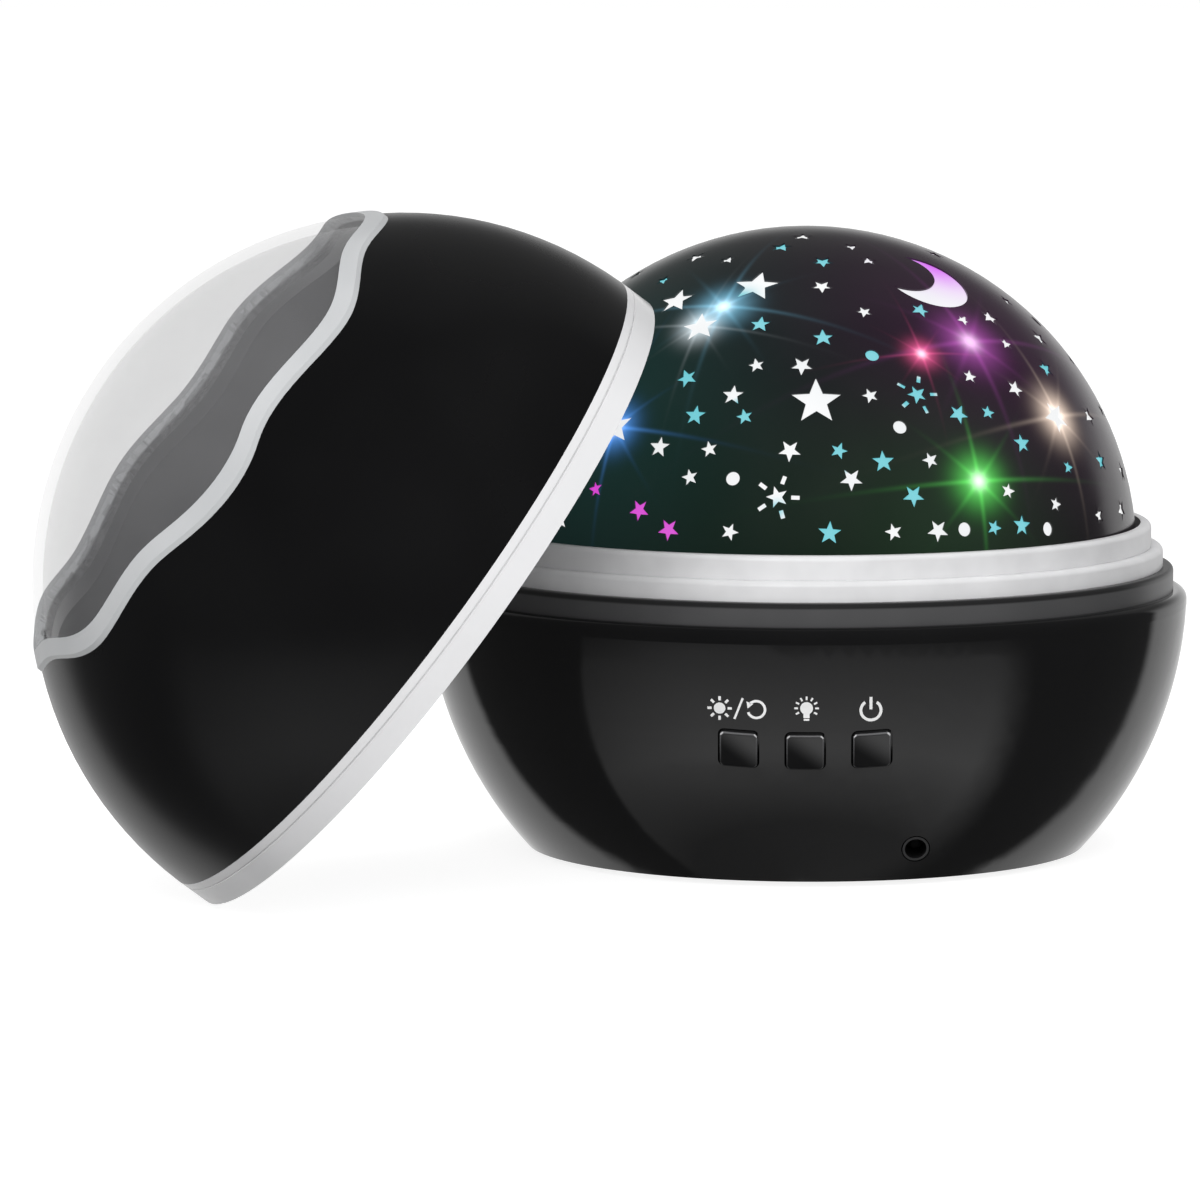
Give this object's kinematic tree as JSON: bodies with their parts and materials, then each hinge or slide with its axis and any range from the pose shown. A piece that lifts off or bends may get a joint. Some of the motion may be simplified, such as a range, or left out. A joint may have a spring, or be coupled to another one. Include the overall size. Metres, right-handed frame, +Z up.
{
  "type": "star projector lamp",
  "caption": "Round night lamp with a turning star-punched dome on a black bowl base, push buttons on the front, and a lift-off domed cover leaning against it.",
  "frame": {"origin": "on the table, in the middle under the base, in the plane of the feet", "axes": "+X to the right seen from the front with the buttons, +Y to the back, +Z up along the dome's turning axis"},
  "size_m": [0.1918, 0.1836, 0.1126],
  "materials": {
    "black_gloss": "polished black",
    "black_satin": "fine satin black",
    "black_matte": "spark-eroded black",
    "silver": "satin silver lacquer",
    "white_matte": "moulded white",
    "white_gloss": "polished white",
    "pale_trim": "satin pale grey",
    "clear": "clear, polished",
    "smoky": "frosted, translucent",
    "mask_skin": "dark tinted print",
    "acetal": "natural",
    "steel": "zinc plated",
    "nickel": "nickel plated",
    "motor_can": "bright can",
    "foot_rubber": "matt",
    "plunger_rubber": "silicone",
    "cell_sleeve": "printed sleeve, no lettering",
    "board": "solder resist",
    "board_white": "white solder resist",
    "led_clear": "water clear",
    "led_red": "tinted",
    "led_green": "tinted",
    "led_blue": "tinted"
  },
  "bodies": {
    "base": {"base_bowl": "black_gloss", "deck": "black_satin", "silver_ring": "silver", "bottom_plate": "black_matte", "bottom_screws": "steel", "rubber_feet": "foot_rubber", "battery_door": "black_matte", "door_screw": "steel", "battery_tray": "black_matte", "batteries": "cell_sleeve", "battery_contacts": "nickel", "gear_motor": "motor_can", "motor_stand": "white_matte", "motor_screws": "steel", "led_pedestal": "white_matte", "led_board": "board_white", "led_screws": "steel", "led_white": "led_clear", "led_red": "led_red", "led_green": "led_green", "led_blue": "led_blue", "control_board": "board", "control_screws": "steel", "tact_switches": "black_matte", "dc_jack": "black_satin"},
    "dome": {"dome_lens": "clear", "star_mask": "mask_skin", "turntable": "white_matte"},
    "pinion": {"drive_pinion": "acetal", "motor_shaft": "steel"},
    "rotate_key": {"rotate_button": "black_gloss", "rotate_plunger": "plunger_rubber"},
    "light_key": {"light_button": "black_gloss", "light_plunger": "plunger_rubber"},
    "power_key": {"power_button": "black_gloss", "power_plunger": "plunger_rubber"},
    "cover": {"cover_rim": "white_gloss", "cover_shell": "black_gloss", "wave_trim": "pale_trim", "cover_window": "smoky"}
  },
  "joints": [
    {"name": "dome_spin", "type": "hinge", "parent": "base", "child": "dome", "pos_m": [0, 0, 0.0469], "axis": [0, 0, 1], "continuous": true},
    {"name": "pinion_spin", "type": "hinge", "parent": "base", "child": "pinion", "pos_m": [0, 0.0315, 0.041], "axis": [0, 0, 1], "continuous": true},
    {"name": "rotate_press", "type": "slide", "parent": "base", "child": "rotate_key", "axis": [0, 0.9481, 0.3181], "range_m": [0, 0.0006], "stiffness_N_per_m": 1000},
    {"name": "light_press", "type": "slide", "parent": "base", "child": "light_key", "axis": [0, 0.9481, 0.3181], "range_m": [0, 0.0006], "stiffness_N_per_m": 1000},
    {"name": "power_press", "type": "slide", "parent": "base", "child": "power_key", "axis": [0, 0.9481, 0.3181], "range_m": [0, 0.0006], "stiffness_N_per_m": 1000},
    {"name": "cover_lift", "type": "slide", "parent": "base", "child": "cover", "axis": [0, 0, 1], "range_m": [0, 0.12]}
  ],
  "couplings": [
    {"joint": "pinion_spin", "follows": "dome_spin", "ratio": 4}
  ]
}
